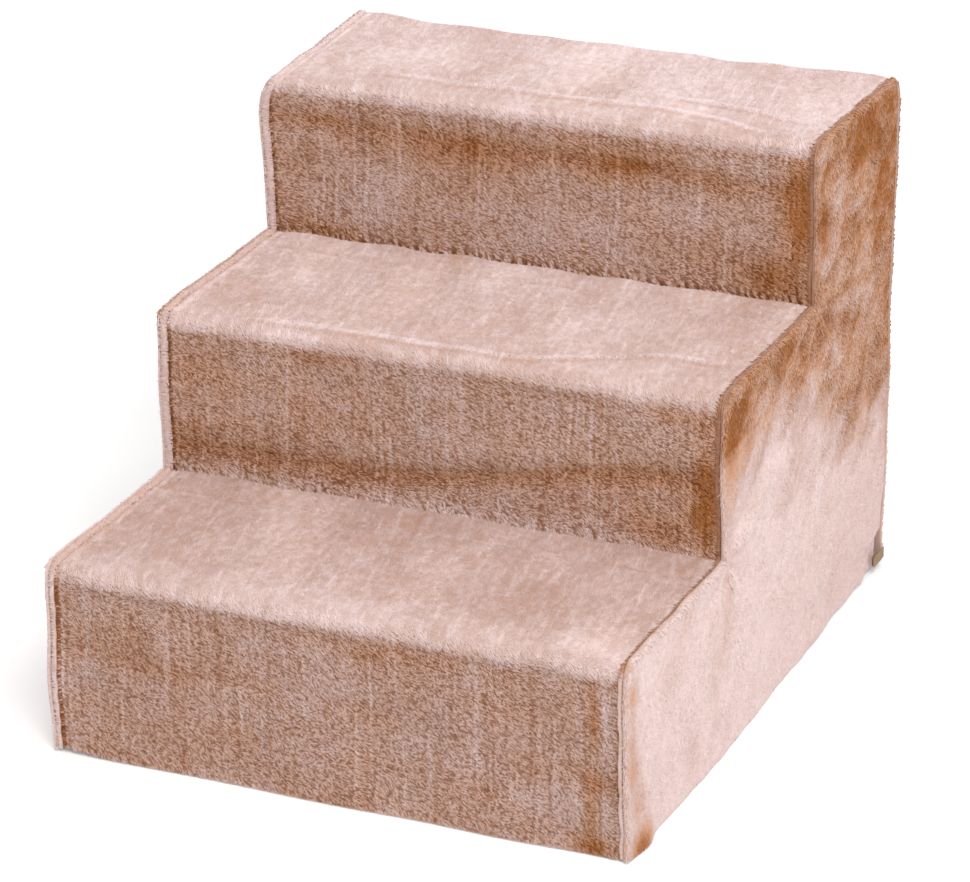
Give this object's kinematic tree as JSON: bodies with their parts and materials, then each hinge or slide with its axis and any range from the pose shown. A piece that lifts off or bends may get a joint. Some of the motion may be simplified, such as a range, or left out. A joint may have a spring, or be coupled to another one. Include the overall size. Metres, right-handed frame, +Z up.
{
  "type": "pet stairs",
  "caption": "Low plush-covered stairs for a small pet: a slip cover over a plug-together plastic frame.",
  "frame": {"origin": "middle of the base on the floor, under the rubber feet", "axes": "+X to the right across the steps, +Y from the lowest step to the back, +Z up"},
  "size_m": [0.408, 0.476, 0.362],
  "materials": {
    "plush": "short brushed plush pile",
    "welt_plush": "short plush pile, folded over",
    "tape": "woven hook-and-loop tape",
    "tray_plastic": "fine moulded grain",
    "rail_plastic": "fine moulded grain",
    "tube_plastic": "smooth extruded",
    "foot_rubber": "matt"
  },
  "bodies": {
    "frame": {"tread_tray_1": "tray_plastic", "tread_tray_2": "tray_plastic", "tread_tray_3": "tray_plastic", "leg_1_front_left": "tube_plastic", "leg_1_front_right": "tube_plastic", "leg_1_back_left": "tube_plastic", "leg_1_back_right": "tube_plastic", "leg_2_front_left": "tube_plastic", "leg_2_front_right": "tube_plastic", "leg_2_back_left": "tube_plastic", "leg_2_back_right": "tube_plastic", "leg_3_front_left": "tube_plastic", "leg_3_front_right": "tube_plastic", "leg_3_back_left": "tube_plastic", "leg_3_back_right": "tube_plastic", "base_rail_left": "rail_plastic", "base_rail_right": "rail_plastic", "cross_tube_front": "tube_plastic", "cross_tube_middle": "tube_plastic", "cross_tube_rear": "tube_plastic", "leg_tie_lower_left": "rail_plastic", "leg_tie_lower_right": "rail_plastic", "leg_tie_upper_left": "rail_plastic", "leg_tie_upper_right": "rail_plastic", "rubber_feet": "foot_rubber"},
    "cover": {"cover_step_1": "plush", "cover_step_2": "plush", "cover_step_3": "plush", "cover_side_left": "plush", "cover_side_right": "plush", "cover_back": "plush", "seam_welt_left": "welt_plush", "seam_welt_right": "welt_plush", "hook_patch_left": "tape", "hook_patch_right": "tape"},
    "tab_left": {"closing_tab_left": "tape"},
    "tab_right": {"closing_tab_right": "tape"}
  },
  "joints": [
    {"name": "cover_lift", "type": "slide", "parent": "frame", "child": "cover", "axis": [0, 0, 1], "range_m": [0, 0.38]},
    {"name": "tab_peel_left", "type": "hinge", "parent": "cover", "child": "tab_left", "pos_m": [-0.2029, 0.2316, 0.011], "axis": [0, 0, -1], "range_deg": [0, 100]},
    {"name": "tab_peel_right", "type": "hinge", "parent": "cover", "child": "tab_right", "pos_m": [0.2029, 0.2316, 0.011], "axis": [0, 0, 1], "range_deg": [0, 100]}
  ]
}
